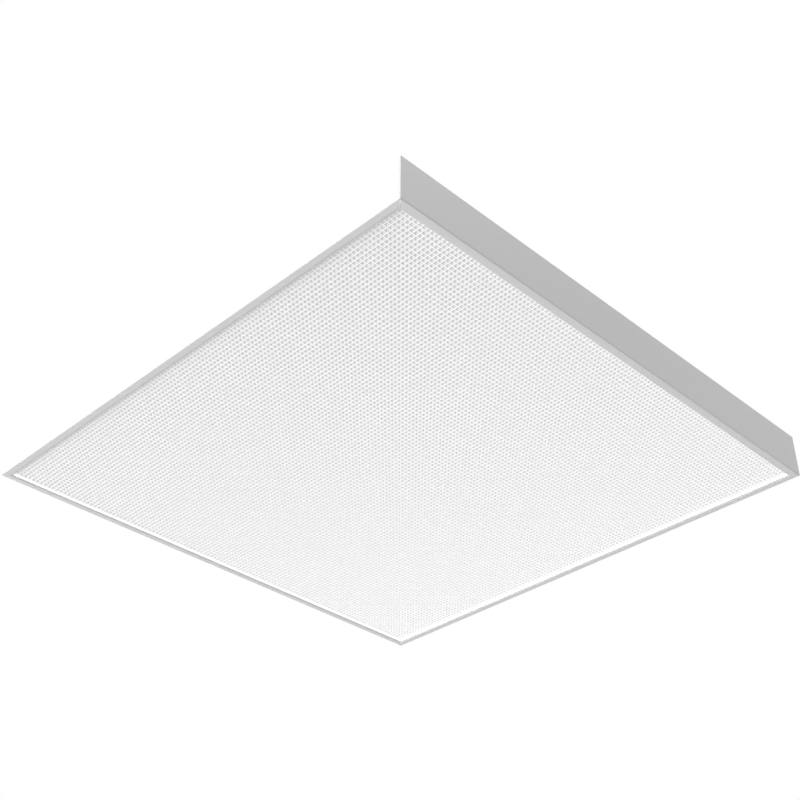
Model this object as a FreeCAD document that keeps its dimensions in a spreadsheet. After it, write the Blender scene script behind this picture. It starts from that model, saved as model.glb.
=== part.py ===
import FreeCAD, Part
import math
import os
import Sketcher
from FreeCAD import Rotation, Vector

# Recessed troffer light, 603 mm square, millimetres.
# Origin: centre of the bezel's bottom face. +Z goes up into the ceiling, and the feed end faces -Y.

doc = FreeCAD.newDocument("recessed_troffer")
sheet = doc.addObject("Spreadsheet::Sheet", "Size")

SIZES = [
    ("module", 603.0, "square outline of the bezel"),
    ("body_depth", 50.0, "height of the end plates"),
    ("plate_gauge", 1.1, "end plate sheet"),
    ("pan_gauge", 0.8, "back pan sheet"),
    ("flange", 7.2, "bearing flange round the opening"),
    ("overcut", 1.0, "reach of a cutting tool beyond the sheet it cuts"),
    ("mitre_gap", 0.3, "gap in the bezel's mitred corners"),
    ("seat_gap", 0.2, "assembly gap between sheet parts"),
    ("bend", 1.2, "outside bend radius"),
    ("crease", 0.4, "coined crease between the pan's flange and wall"),
    ("pan_wall", 8.2, "height of the pan's upright wall"),
    ("crown", 524.0, "width of the pan's flat top"),
    ("end_flange", 16.0, "depth of the end plates' top flange"),
    ("hem_width", 6.0, "hem on the feed plate's upright edges"),
    ("hem_bottom", 7.0, "height where the hem starts"),
    ("bead_width", 12.0, "stiffening bead in the pan"),
    ("bead_rise", 1.5, "height of the bead"),
    ("bead_length", 420.0, "length of the bead"),
    ("bead_pitch", 190.0, "distance between the beads"),
    ("plate_screw_pitch", 200.0, "distance between the end plate screws"),
    ("plate_screw_inset", 9.6, "end plate screws from the end"),
    ("screw_radius", 1.9, "sheet metal screw"),
    ("hole_play", 0.1, "radial play of a screw in its hole"),
    ("screw_head", 4.0, "radius across the screw head's corners"),
    ("head_height", 2.2, "height of a screw head"),
    ("screw_reach", 4.5, "screw below the sheet it holds"),
    ("door_gap", 0.5, "gap between the door and the flange"),
    ("door_lift", 0.3, "door's edge above the bezel's face"),
    ("rail_gauge", 1.1, "wall of the door rails"),
    ("rail_top", 7.6, "top of the door rails"),
    ("rail_play", 0.05, "gap of the rails' mitres"),
    ("ledge", 1.4, "ledge that carries the lens"),
    ("ledge_gauge", 0.8, "thickness of that ledge"),
    ("lens_bottom", 2.7, "height of the lens"),
    ("lens_thick", 2.5, "thickness of the lens"),
    ("lens_play", 0.3, "gap round the lens"),
    ("hinge_inset", 3.0, "hinge axis from the door's edge"),
    ("hinge_height", 2.0, "hinge axis above the bezel's face"),
    ("pin_radius", 0.8, "hinge pin"),
    ("pin_play", 0.05, "radial play of every pin"),
    ("pin_end", 1.2, "pin beyond the pan's wall"),
    ("tab_width", 20.0, "keeper tab on the latch rail"),
    ("tab_top", 14.0, "top of the keeper tab"),
    ("tab_pitch", 300.0, "distance between the keeper tabs"),
    ("window_width", 14.0, "window in the keeper tab"),
    ("window_bottom", 8.6, "bottom of that window"),
    ("window_top", 12.5, "top of that window"),
    ("catch_width", 12.0, "spring catch"),
    ("catch_gauge", 0.5, "spring catch sheet"),
    ("catch_root", 27.0, "height where the catch flexes"),
    ("catch_top", 34.0, "top of the catch"),
    ("catch_nose", 10.2, "height of the catch's nose"),
    ("catch_tail", 5.0, "lower end of the catch"),
    ("catch_bite", 0.7, "nose inside the keeper tab"),
    ("catch_stand", 2.5, "catch's tail outside the door's edge"),
    ("key_leg", 25.0, "leg of a corner key"),
    ("key_gauge", 1.5, "thickness of a corner key"),
    ("key_height", 1.9, "height of a corner key"),
    ("clip_width", 16.0, "lens retainer"),
    ("clip_gauge", 0.5, "lens retainer sheet"),
    ("clip_foot", 8.0, "foot of the retainer on the lens"),
    ("clip_pitch", 320.0, "distance between the retainers on a rail"),
    ("board_length", 250.0, "LED board"),
    ("board_width", 60.0, "LED board"),
    ("board_gauge", 1.6, "LED board"),
    ("board_gap", 12.0, "gap between the boards of a row"),
    ("row_pitch", 220.0, "distance between the rows of boards"),
    ("led_size", 3.2, "side of an emitter"),
    ("led_height", 0.8, "height of an emitter"),
    ("led_pitch", 30.0, "distance between emitters in a line"),
    ("led_line_pitch", 30.0, "distance between the lines on a board"),
    ("clip_stem", 0.8, "sheet of a board clip"),
    ("clip_hook", 5.0, "hook of a board clip"),
    ("link_width", 26.0, "board connector across the gap"),
    ("link_depth", 10.0, "board connector along the gap"),
    ("link_height", 3.6, "board connector"),
    ("cable_width", 5.4, "flat two-core cable to the boards"),
    ("cable_thick", 1.8, "flat two-core cable to the boards"),
    ("cable_bend", 4.0, "bend radius of that cable"),
    ("lead_radius", 0.9, "supply lead"),
    ("box_length", 300.0, "driver box"),
    ("box_width", 100.0, "driver box"),
    ("box_height", 34.0, "driver box"),
    ("box_gauge", 1.0, "driver box sheet"),
    ("box_inset", 26.5, "driver box from the feed end"),
    ("foot", 14.0, "foot of the driver box"),
    ("entry_radius", 11.1, "conduit entry, half inch trade size"),
    ("entry_height", 13.0, "conduit entry above the box floor"),
    ("entry_offset", 22.0, "conduit entry from the box's middle"),
    ("bushing_radius", 5.6, "hole for the wire bushing"),
    ("bushing_bore", 3.8, "bore of the bushing"),
    ("bushing_flange", 1.5, "flange of the bushing"),
    ("bushing_inset", 11.2, "bushing from the box's back wall"),
    ("ground_inset", 10.0, "ground screw from the box's end wall"),
    ("ground_back", 12.0, "ground screw from the back of the box"),
    ("lid_gauge", 1.0, "cover sheet"),
    ("lid_gap", 0.4, "gap between the cover and the box"),
    ("lid_lip", 8.0, "lip of the cover"),
    ("knuckle_radius", 2.0, "knuckle of the cover hinge"),
    ("knuckle_length", 20.0, "knuckle of the cover hinge"),
    ("knuckle_play", 0.3, "gap between knuckles"),
    ("knuckle_start", 100.0, "first knuckle from the middle"),
    ("knuckle_reach", 3.0, "hinge axis behind the box wall"),
    ("cover_pin", 1.0, "cover hinge pin"),
    ("stud_radius", 3.0, "quarter-turn stud"),
    ("stud_head", 7.0, "head of the stud"),
    ("stud_cap", 2.5, "thickness of the stud's head"),
    ("stud_slot", 1.4, "screwdriver slot in the head"),
    ("stud_bar", 14.0, "cross bar of the stud"),
    ("stud_bar_gauge", 2.0, "thickness of the cross bar"),
    ("stud_bar_width", 3.0, "width of the cross bar"),
    ("stud_inset", 10.0, "stud from the box's front wall"),
    ("keeper_gauge", 1.2, "keeper sheet"),
    ("keeper_width", 24.0, "keeper along the box"),
    ("keeper_back", 8.0, "height of the keeper's back"),
    ("keeper_play", 0.5, "gap round the stud in the keeper"),
    ("keeper_drop", 5.0, "keeper below the top of the box"),
    ("driver_length", 220.0, "LED driver"),
    ("driver_width", 42.0, "LED driver"),
    ("driver_height", 26.0, "LED driver"),
    ("driver_ear", 12.0, "fixing ear of the driver"),
    ("ear_gauge", 1.0, "sheet of the driver's ears"),
    ("driver_inset", 20.0, "driver from the box's front wall"),
    ("terminal_length", 30.0, "terminal block"),
    ("terminal_width", 16.0, "terminal block"),
    ("terminal_height", 15.0, "terminal block"),
    ("terminal_inset", 8.0, "terminal block from the box's back wall"),
    ("mouth_side", 4.0, "mouth for a lead"),
    ("mouth_depth", 8.0, "mouth for a lead"),
    ("bracket_side", 20.0, "hanger bracket"),
    ("bracket_gauge", 1.5, "hanger bracket sheet"),
    ("hanger_height", 12.0, "hanger hole above the pan"),
    ("bracket_place", 226.0, "hanger bracket from the middle"),
    ("hanger_radius", 3.2, "hole for the hanger wire"),
]


def fill_sheet():
    for row, (alias, value, meaning) in enumerate(SIZES, start=1):
        sheet.set(f"A{row}", str(value))
        sheet.setAlias(f"A{row}", alias)
        sheet.set(f"B{row}", meaning)
    doc.recompute()


fill_sheet()

# How close a point lies to its edge, the least share that a pocket takes away,
# and the width of a slanted leaf across, in gauges.
ON_EDGE = 0.001
LEAST_CUT = 1e-7
SLANT = 1.2

# Derived places, as expressions on the sheet.
HALF = "(Size.module / 2)"
OPENING = "(Size.module / 2 - Size.flange)"
PLATE_INNER = "(Size.module / 2 - Size.plate_gauge)"
DOOR = f"({OPENING} - Size.door_gap)"
DOOR_INNER = f"({DOOR} - Size.rail_gauge)"
PAN_TOP = "(Size.body_depth - Size.plate_gauge)"
PAN_CEILING = f"({PAN_TOP} - Size.pan_gauge)"
LENS_TOP = "(Size.lens_bottom + Size.lens_thick)"
HINGE_Y = f"({DOOR} - Size.hinge_inset)"
BOARD_BOTTOM = f"({PAN_CEILING} - Size.board_gauge)"
BOX_FRONT = f"(-{HALF} + Size.box_inset)"
BOX_BACK = f"({BOX_FRONT} + Size.box_width)"
BOX_FLOOR = f"({PAN_TOP} + Size.box_gauge)"
BOX_TOP = f"({PAN_TOP} + Size.box_height)"
BUSHING_Y = f"({BOX_BACK} - Size.box_gauge - Size.bushing_inset)"
COVER_AXIS_Y = f"({BOX_BACK} + Size.knuckle_reach)"
LID_BOTTOM = f"({BOX_TOP} + Size.seat_gap)"
COVER_AXIS_Z = f"({LID_BOTTOM} + Size.lid_gauge - Size.knuckle_radius)"
STUD_Y = f"({BOX_FRONT} + Size.stud_inset)"
DRIVER_Y = f"({BOX_FRONT} + Size.driver_inset)"
HOLE = "(Size.screw_radius + Size.hole_play)"


def number(expression):
    """Value of an expression on the sheet."""
    return float(sheet.evalExpression(str(expression)))


def place(thing, x="0", y="0", z="0"):
    thing.setExpression("Placement.Base.x", x)
    thing.setExpression("Placement.Base.y", y)
    thing.setExpression("Placement.Base.z", z)
    return thing


def block(name, x, y, z, length, width, height):
    """Box with its lowest corner at x, y, z."""
    thing = doc.addObject("Part::Box", name)
    thing.setExpression("Length", length)
    thing.setExpression("Width", width)
    thing.setExpression("Height", height)
    return place(thing, x, y, z)


def bar(name, x, y, z, length, width, height):
    """Box centred on x and y, standing on z."""
    return block(name, f"{x} - ({length}) / 2", f"{y} - ({width}) / 2", z, length, width, height)


TURNS = {"X": Rotation(Vector(0, 1, 0), 90), "Y": Rotation(Vector(1, 0, 0), -90), "Z": Rotation()}


def rod(name, axis, x, y, z, radius, length):
    """Cylinder that starts at x, y, z and runs along the axis."""
    thing = doc.addObject("Part::Cylinder", name)
    thing.setExpression("Radius", radius)
    thing.setExpression("Height", length)
    thing.Placement = FreeCAD.Placement(Vector(), TURNS[axis])
    return place(thing, x, y, z)


def hexagon(name, x, y, z, radius, height):
    """Upright hexagonal prism."""
    thing = doc.addObject("Part::Prism", name)
    thing.Polygon = 6
    thing.setExpression("Circumradius", radius)
    thing.setExpression("Height", height)
    return place(thing, x, y, z)


def fused(name, things):
    whole = doc.addObject("Part::MultiFuse", name)
    whole.Shapes = things
    whole.Refine = True
    return whole


def cut(name, base, tools):
    tool = tools[0] if len(tools) == 1 else fused(f"{name}_tools", tools)
    rest = doc.addObject("Part::Cut", name)
    rest.Base = base
    rest.Tool = tool
    return rest


def group(name, things):
    """Several separate solids in one node."""
    whole = doc.addObject("Part::Compound", name)
    whole.Links = things
    return whole


def new_body(name):
    return doc.addObject("PartDesign::Body", name)


def outline(body, role, offset, loops):
    """Sketch of closed polygons, every corner held by two expressions."""
    sketch = body.newObject("Sketcher::SketchObject", f"{body.Name}_outline")
    plane = [item for item in body.Origin.OriginFeatures if item.Role == role][0]
    sketch.AttachmentSupport = [(plane, "")]
    sketch.MapMode = "FlatFace"
    sketch.setExpression("AttachmentOffset.Base.z", offset)
    for corners in loops:
        first = sketch.GeometryCount
        points = [Vector(number(u), number(v), 0) for u, v in corners]
        following = points[1:] + points[:1]
        sketch.addGeometry([Part.LineSegment(a, b) for a, b in zip(points, following)], False)
        count = len(points)
        for index, (corner, point) in enumerate(zip(corners, points)):
            line = first + index
            after = first + (index + 1) % count
            sketch.addConstraint(Sketcher.Constraint("Coincident", line, 2, after, 1))
            for kind, value, expression in zip(("DistanceX", "DistanceY"), point, corner):
                row = sketch.addConstraint(Sketcher.Constraint(kind, -1, 1, line, 1, value))
                sketch.setExpression(f"Constraints[{row}]", expression)
    return sketch


def circles(body, role, offset, spots):
    """Sketch of circles, each (u, v, radius)."""
    sketch = body.newObject("Sketcher::SketchObject", f"{body.Name}_circles")
    plane = [item for item in body.Origin.OriginFeatures if item.Role == role][0]
    sketch.AttachmentSupport = [(plane, "")]
    sketch.MapMode = "FlatFace"
    sketch.setExpression("AttachmentOffset.Base.z", offset)
    for u, v, radius in spots:
        middle = Vector(number(u), number(v), 0)
        ring = sketch.addGeometry(Part.Circle(middle, Vector(0, 0, 1), number(radius)), False)
        row = sketch.addConstraint(Sketcher.Constraint("Radius", ring, number(radius)))
        sketch.setExpression(f"Constraints[{row}]", radius)
        for kind, value, expression in zip(("DistanceX", "DistanceY"), middle, (u, v)):
            row = sketch.addConstraint(Sketcher.Constraint(kind, -1, 1, ring, 3, value))
            sketch.setExpression(f"Constraints[{row}]", expression)
    return sketch


def pad(body, sketch, length, midplane=False, backwards=False):
    feature = body.newObject("PartDesign::Pad", f"{body.Name}_pad")
    feature.Profile = sketch
    feature.Midplane = midplane
    feature.Reversed = backwards
    feature.setExpression("Length", length)
    doc.recompute()
    return feature


def pocket(body, sketch, length, midplane=False, backwards=False):
    """Pocket that has to take material away."""
    before = body.Shape.Volume
    feature = body.newObject("PartDesign::Pocket", f"{body.Name}_pocket")
    feature.Profile = sketch
    feature.Midplane = midplane
    feature.Reversed = backwards
    feature.setExpression("Length", length)
    doc.recompute()
    if feature.Shape.Volume > before * (1 - LEAST_CUT):
        raise RuntimeError(f"{feature.Name} cuts nothing")
    return feature


def rounded(body, base, radius, spots):
    """Fillet on the straight edges that pass through the given points."""
    names = []
    for spot in spots:
        point = Part.Vertex(Vector(*[number(part) for part in spot]))
        for index, edge in enumerate(base.Shape.Edges, start=1):
            if edge.distToShape(point)[0] < ON_EDGE:
                names.append(f"Edge{index}")
    feature = body.newObject("PartDesign::Fillet", f"{body.Name}_bends")
    feature.Base = (base, names)
    feature.setExpression("Radius", radius)
    doc.recompute()
    return feature


SIGNS = ("", "-")


# ---------------------------------------------------------------- housing

PAN_RUN = f"({OPENING} + Size.pan_gauge - Size.crown / 2)"
PAN_RISE = f"({PAN_TOP} - Size.pan_wall)"
LOW_TURN = f"(Size.pan_gauge * tan(atan({PAN_RUN} / {PAN_RISE}) / 2))"
HIGH_TURN = f"(Size.pan_gauge * tan(45deg - atan({PAN_RUN} / {PAN_RISE}) / 2))"
PLATE_SCREWS = [f"Size.plate_screw_pitch * {step}" for step in (-1, 0, 1)]
PLATE_SCREW_Y = f"({HALF} - Size.plate_screw_inset)"


def make_back_pan():
    """Folded pan: flanges, upright walls, sloped sides and a flat top with pressed beads."""
    body = new_body("back_pan")
    outer = [(HALF, "0"), (HALF, "Size.pan_gauge"), (f"{OPENING} + Size.pan_gauge", "Size.pan_gauge"),
             (f"{OPENING} + Size.pan_gauge", "Size.pan_wall"), ("Size.crown / 2", PAN_TOP)]
    inner = [(OPENING, "0"), (OPENING, f"Size.pan_wall - {LOW_TURN}"),
             (f"Size.crown / 2 - {HIGH_TURN}", PAN_CEILING)]
    left_inner = [(f"-({u})", v) for u, v in reversed(inner)]
    left_outer = [(f"-({u})", v) for u, v in reversed(outer)]
    section = outer + left_outer + list(reversed(left_inner)) + list(reversed(inner))
    length = f"2 * ({PLATE_INNER} - Size.seat_gap)"
    base = pad(body, outline(body, "XZ_Plane", "0", [section]), length, midplane=True)
    bends = [(f"{sign}{u}", "0", v) for sign in SIGNS
             for u, v in ((f"({OPENING} + Size.pan_gauge)", "Size.pan_wall"), ("Size.crown / 2", PAN_TOP))]
    folded = rounded(body, base, "Size.bend", bends)
    rounded(body, folded, "Size.crease", [(f"{sign}{OPENING}", "0", "0") for sign in SIGNS])
    corner = []
    for sx in SIGNS:
        for sy in SIGNS:
            near = f"({OPENING} - Size.overcut)"
            far = f"({HALF} + Size.overcut)"
            corner.append([(f"{sx}{near}", f"{sy}({near} - Size.mitre_gap)"),
                           (f"{sx}{far}", f"{sy}({far} - Size.mitre_gap)"),
                           (f"{sx}{near}", f"{sy}{far}")])
    pocket(body, outline(body, "XY_Plane", "0", corner), "Size.plate_gauge + Size.seat_gap", backwards=True)
    half_bead = "Size.bead_width / 2"
    slant = "Size.bead_rise"
    beads, hollows = [], []
    for middle in ("0", "Size.bead_pitch"):
        beads.append([(f"{middle} - {half_bead}", PAN_CEILING), (f"{middle} - {half_bead}", PAN_TOP),
                      (f"{middle} - {half_bead} + {slant}", f"{PAN_TOP} + Size.bead_rise"),
                      (f"{middle} + {half_bead} - {slant}", f"{PAN_TOP} + Size.bead_rise"),
                      (f"{middle} + {half_bead}", PAN_TOP), (f"{middle} + {half_bead}", PAN_CEILING)])
        inside = f"({half_bead} - Size.pan_gauge)"
        hollows.append([(f"{middle} - {inside}", f"{PAN_CEILING} - Size.overcut"),
                        (f"{middle} - {inside}", PAN_CEILING),
                        (f"{middle} - {inside} + {slant}", f"{PAN_CEILING} + Size.bead_rise"),
                        (f"{middle} + {inside} - {slant}", f"{PAN_CEILING} + Size.bead_rise"),
                        (f"{middle} + {inside}", PAN_CEILING),
                        (f"{middle} + {inside}", f"{PAN_CEILING} - Size.overcut")])
    pad(body, outline(body, "YZ_Plane", "0", beads), "Size.bead_length", midplane=True)
    pocket(body, outline(body, "YZ_Plane", "0", hollows), "Size.bead_length - 2 * Size.pan_gauge",
           midplane=True)
    holes = [(x, f"{sign}{PLATE_SCREW_Y}", HOLE) for x in PLATE_SCREWS for sign in SIGNS]
    holes.append(("0", BUSHING_Y, "Size.bushing_radius"))
    holes += [(x, y, HOLE) for x, y in FOOT_SCREWS + [GROUND_SCREW]]
    pocket(body, circles(body, "XY_Plane", f"{PAN_TOP} + Size.overcut", holes),
           "Size.pan_gauge + 2 * Size.overcut")
    pivots = [(HINGE_Y, "Size.hinge_height", "Size.pin_radius + Size.pin_play")]
    pocket(body, circles(body, "YZ_Plane", "0", pivots), "Size.module", midplane=True)
    return body


def make_end_plate(name, feed):
    """End plate with a mitred bottom flange and a top flange, drawn at the feed end (-Y)."""
    body = new_body(name)
    face = f"-{HALF}"
    inner = f"-{PLATE_INNER}"
    section = [(face, "0"), (f"-{OPENING}", "0"), (f"-{OPENING}", "Size.plate_gauge"),
               (inner, "Size.plate_gauge"), (inner, PAN_TOP),
               (f"{face} + Size.end_flange", PAN_TOP), (f"{face} + Size.end_flange", "Size.body_depth"),
               (face, "Size.body_depth")]
    base = pad(body, outline(body, "YZ_Plane", "0", [section]), "Size.module", midplane=True)
    rounded(body, base, "Size.bend", [("0", face, "0"), ("0", face, "Size.body_depth")])
    mitre = []
    for sign in SIGNS:
        near = f"({OPENING} - Size.overcut)"
        mitre.append([(f"{sign}{near}", f"-{near}"), (f"{sign}{PLATE_INNER}", inner),
                      (f"{sign}({HALF} + Size.overcut)", inner),
                      (f"{sign}({HALF} + Size.overcut)", f"-{near}")])
    pocket(body, outline(body, "XY_Plane", "0", mitre), "Size.plate_gauge + Size.overcut", backwards=True)
    cutback = []
    for sign in SIGNS:
        near = f"{sign}(Size.crown / 2 - Size.overcut)"
        far = f"{sign}({HALF} + Size.overcut)"
        behind = f"{face} + Size.end_flange + Size.overcut"
        cutback.append([(near, inner), (near, behind), (far, behind), (far, inner)])
    pocket(body, outline(body, "XY_Plane", f"{PAN_TOP} - Size.seat_gap", cutback),
           "Size.plate_gauge + 2 * Size.overcut", backwards=True)
    screws = [(x, f"-{PLATE_SCREW_Y}", HOLE) for x in PLATE_SCREWS]
    pocket(body, circles(body, "XY_Plane", "Size.body_depth + Size.overcut", screws),
           "Size.plate_gauge + 2 * Size.overcut")
    if feed:
        hems = []
        for sign in SIGNS:
            hems.append([(f"{sign}{HALF}", "Size.hem_bottom"),
                         (f"{sign}({HALF} - Size.hem_width)", "Size.hem_bottom"),
                         (f"{sign}({HALF} - Size.hem_width)", "Size.body_depth - Size.bend"),
                         (f"{sign}{HALF}", "Size.body_depth - Size.bend")])
        sketch = outline(body, "XZ_Plane", PLATE_INNER, hems)
        pad(body, sketch, "Size.plate_gauge", backwards=True)
    else:
        wall = f"({OPENING} + Size.pan_gauge)"
        shoulders = []
        for sign in SIGNS:
            far = f"{sign}({HALF} + Size.overcut)"
            above = "Size.body_depth + Size.overcut"
            shoulders.append([(f"{sign}{wall}", "Size.plate_gauge"), (f"{sign}{wall}", "Size.pan_wall"),
                              (f"{sign}(Size.crown / 2 - Size.pan_gauge)", above), (far, above),
                              (far, "Size.plate_gauge")])
        pocket(body, outline(body, "XZ_Plane", "0", shoulders), "Size.module", backwards=True)
        body.Placement = FreeCAD.Placement(Vector(), Rotation(Vector(0, 0, 1), 180))
    return body


def screw(name, x, y, top, reach):
    """Hexagon head screw whose head sits on the height top."""
    shank = rod(f"{name}_shank", "Z", x, y, f"{top} - ({reach})", "Size.screw_radius", reach)
    head = hexagon(f"{name}_head", x, y, top, "Size.screw_head", "Size.head_height")
    return fused(name, [shank, head])


def make_plate_screws():
    spots = [(x, f"{sign}{PLATE_SCREW_Y}") for x in PLATE_SCREWS for sign in SIGNS]
    things = [screw(f"plate_screw_{row}", x, y, "Size.body_depth", "Size.screw_reach")
              for row, (x, y) in enumerate(spots)]
    return group("end_plate_screws", things)


BRACKET_SPOTS = [(sx, sy) for sx in SIGNS for sy in SIGNS]


def make_hanger_brackets():
    """Four spot-welded angle brackets, each with a hole for a hanger wire."""
    things = []
    for row, (sx, sy) in enumerate(BRACKET_SPOTS):
        x = f"{sx}Size.bracket_place"
        y = f"{sy}Size.bracket_place"
        base = bar(f"hanger_base_{row}", x, y, PAN_TOP, "Size.bracket_side", "Size.bracket_side",
                   "Size.bracket_gauge")
        ear_x = f"{sx}(Size.bracket_place + (Size.bracket_side - Size.bracket_gauge) / 2)"
        ear = bar(f"hanger_ear_{row}", ear_x, y, PAN_TOP, "Size.bracket_gauge", "Size.bracket_side",
                  "Size.bracket_side")
        angle = fused(f"hanger_angle_{row}", [base, ear])
        eye = rod(f"hanger_eye_{row}", "X", f"{ear_x} - Size.bracket_side / 2", y,
                  f"{PAN_TOP} + Size.hanger_height", "Size.hanger_radius", "Size.bracket_side")
        things.append(cut(f"hanger_bracket_{row}", angle, [eye]))
    return group("hanger_brackets", things)


# ---------------------------------------------------------------- lens door

def make_rail(name, turn, extras=None):
    """Mitred door rail, drawn at the feed end and turned to its side."""
    body = new_body(name)
    face = f"-{DOOR}"
    inner = f"-{DOOR_INNER}"
    ledge = f"{inner} + Size.ledge"
    low = "Size.lens_bottom - Size.ledge_gauge"
    section = [(face, "Size.door_lift"), (inner, "Size.door_lift"), (inner, low), (ledge, low),
               (ledge, "Size.lens_bottom"), (inner, "Size.lens_bottom"), (inner, "Size.rail_top"),
               (face, "Size.rail_top")]
    pad(body, outline(body, "YZ_Plane", "0", [section]), f"2 * {DOOR}", midplane=True)
    ends = []
    for sign in SIGNS:
        near = f"({DOOR_INNER} - 2 * Size.ledge)"
        far = f"({DOOR} + Size.overcut)"
        ends.append([(f"{sign}({near} - Size.rail_play)", f"-{near}"),
                     (f"{sign}({far} - Size.rail_play)", f"-{far}"), (f"{sign}{far}", f"-{near}")])
    pocket(body, outline(body, "XY_Plane", "0", ends), "Size.rail_top + Size.overcut", backwards=True)
    if extras:
        extras(body)
    body.Placement = FreeCAD.Placement(Vector(), Rotation(Vector(0, 0, 1), turn))
    return body


def add_keeper_tabs(body):
    """Upright tabs with windows for the spring catches."""
    tabs, windows = [], []
    for sign in SIGNS:
        middle = f"{sign}Size.tab_pitch / 2"
        tabs.append([(f"{middle} - Size.tab_width / 2", "Size.rail_top - Size.overcut"),
                     (f"{middle} + Size.tab_width / 2", "Size.rail_top - Size.overcut"),
                     (f"{middle} + Size.tab_width / 2", "Size.tab_top"),
                     (f"{middle} - Size.tab_width / 2", "Size.tab_top")])
        windows.append([(f"{middle} - Size.window_width / 2", "Size.window_bottom"),
                        (f"{middle} + Size.window_width / 2", "Size.window_bottom"),
                        (f"{middle} + Size.window_width / 2", "Size.window_top"),
                        (f"{middle} - Size.window_width / 2", "Size.window_top")])
    pad(body, outline(body, "XZ_Plane", DOOR_INNER, tabs), "Size.rail_gauge")
    pocket(body, outline(body, "XZ_Plane", f"{DOOR} + Size.overcut", windows),
           "Size.rail_gauge + 2 * Size.overcut")


def pivot_hole(sign):
    def drill(body):
        spot = (f"{sign}{HINGE_Y}", "Size.hinge_height", "Size.pin_radius + Size.pin_play")
        pocket(body, circles(body, "XZ_Plane", f"{DOOR} + Size.overcut", [spot]),
               "Size.rail_gauge + 2 * Size.overcut")
    return drill


def make_lens():
    side = f"2 * ({DOOR_INNER} - Size.lens_play)"
    return bar("prismatic_lens", "0", "0", "Size.lens_bottom", side, side, "Size.lens_thick")


def make_hinge_pins():
    length = f"({OPENING} + Size.pan_gauge + Size.pin_end - {DOOR_INNER})"
    right = rod("hinge_pin_right", "X", DOOR_INNER, HINGE_Y, "Size.hinge_height", "Size.pin_radius", length)
    left = rod("hinge_pin_left", "X", f"-{DOOR_INNER} - {length}", HINGE_Y, "Size.hinge_height",
               "Size.pin_radius", length)
    return group("hinge_pins", [right, left])


def make_corner_keys():
    """Angle keys inside the rails' corners, above the lens."""
    things = []
    for row, (sx, sy) in enumerate(BRACKET_SPOTS):
        outer = f"({DOOR_INNER} - Size.rail_play)"
        bottom = f"{LENS_TOP} + Size.seat_gap"
        along_x = bar(f"key_x_{row}", f"{sx}({outer} - Size.key_leg / 2)",
                      f"{sy}({outer} - Size.key_gauge / 2)", bottom,
                      "Size.key_leg", "Size.key_gauge", "Size.key_height")
        along_y = bar(f"key_y_{row}", f"{sx}({outer} - Size.key_gauge / 2)",
                      f"{sy}({outer} - Size.key_leg / 2)", bottom,
                      "Size.key_gauge", "Size.key_leg", "Size.key_height")
        things.append(fused(f"corner_key_{row}", [along_x, along_y]))
    return group("corner_keys", things)


def make_lens_retainers():
    """Angle clips on the rails' inner faces that hold the lens down."""
    things = []
    outer = f"({DOOR_INNER} - Size.rail_play)"
    height = f"Size.rail_top - {LENS_TOP}"
    for sign in SIGNS:
        for other in SIGNS:
            along = f"{other}Size.clip_pitch / 2"
            leg = bar(f"clip_leg_y{len(things)}", along, f"{sign}({outer} - Size.clip_gauge / 2)", LENS_TOP,
                      "Size.clip_width", "Size.clip_gauge", height)
            sole = bar(f"clip_sole_y{len(things)}", along, f"{sign}({outer} - Size.clip_foot / 2)",
                       LENS_TOP, "Size.clip_width", "Size.clip_foot", "Size.clip_gauge")
            things.append(fused(f"clip_{len(things)}", [leg, sole]))
            leg = bar(f"clip_leg_x{len(things)}", f"{sign}({outer} - Size.clip_gauge / 2)", along, LENS_TOP,
                      "Size.clip_gauge", "Size.clip_width", height)
            sole = bar(f"clip_sole_x{len(things)}", f"{sign}({outer} - Size.clip_foot / 2)", along,
                       LENS_TOP, "Size.clip_foot", "Size.clip_width", "Size.clip_gauge")
            things.append(fused(f"clip_{len(things)}", [leg, sole]))
    return group("lens_retainers", things)


def make_catch(name, sign):
    """Bent leaf spring, welded to the feed plate, with its nose in the keeper tab's window."""
    body = new_body(name)
    wall = f"-{PLATE_INNER}"
    nose = f"(-{DOOR} + Size.catch_bite)"
    tail = f"(-{DOOR} - Size.catch_stand)"
    gauge = "Size.catch_gauge"
    leaf = [(wall, "Size.catch_root"), (wall, "Size.catch_top"), (f"{wall} + {gauge}", "Size.catch_top"),
            (f"{wall} + {gauge}", "Size.catch_root"), (nose, "Size.catch_nose"), (tail, "Size.catch_tail"),
            (f"{tail} - {gauge}", f"Size.catch_tail + {gauge} / 2"),
            (f"{nose} - {gauge} * {SLANT}", "Size.catch_nose")]
    pad(body, outline(body, "YZ_Plane", f"{sign}Size.tab_pitch / 2", [leaf]), "Size.catch_width",
        midplane=True)
    return body


# ---------------------------------------------------------------- light source

BOARD_X = "((Size.board_length + Size.board_gap) / 2)"
ROW_Y = "(Size.row_pitch / 2)"


def make_board(name, sx, sy):
    return bar(name, f"{sx}{BOARD_X}", f"{sy}{ROW_Y}", BOARD_BOTTOM, "Size.board_length",
               "Size.board_width", "Size.board_gauge")


LINES = 2
LEDS_A_LINE = 8
BOARD_PLACES = [("led_board_1", "-", "-"), ("led_board_2", "", "-"), ("led_board_3", "-", ""),
                ("led_board_4", "", "")]


def make_emitters():
    """Two lines of eight emitters on each board."""
    things = []
    for name, sx, sy in BOARD_PLACES:
        for line in range(LINES):
            for step in range(LEDS_A_LINE):
                x = f"{sx}{BOARD_X} + Size.led_pitch * {step - (LEDS_A_LINE - 1) / 2}"
                y = f"{sy}{ROW_Y} + Size.led_line_pitch * {line - (LINES - 1) / 2}"
                things.append(bar(f"{name}_led_{len(things)}", x, y, f"{BOARD_BOTTOM} - Size.led_height",
                                  "Size.led_size", "Size.led_size", "Size.led_height"))
    return group("led_emitters", things)


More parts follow.
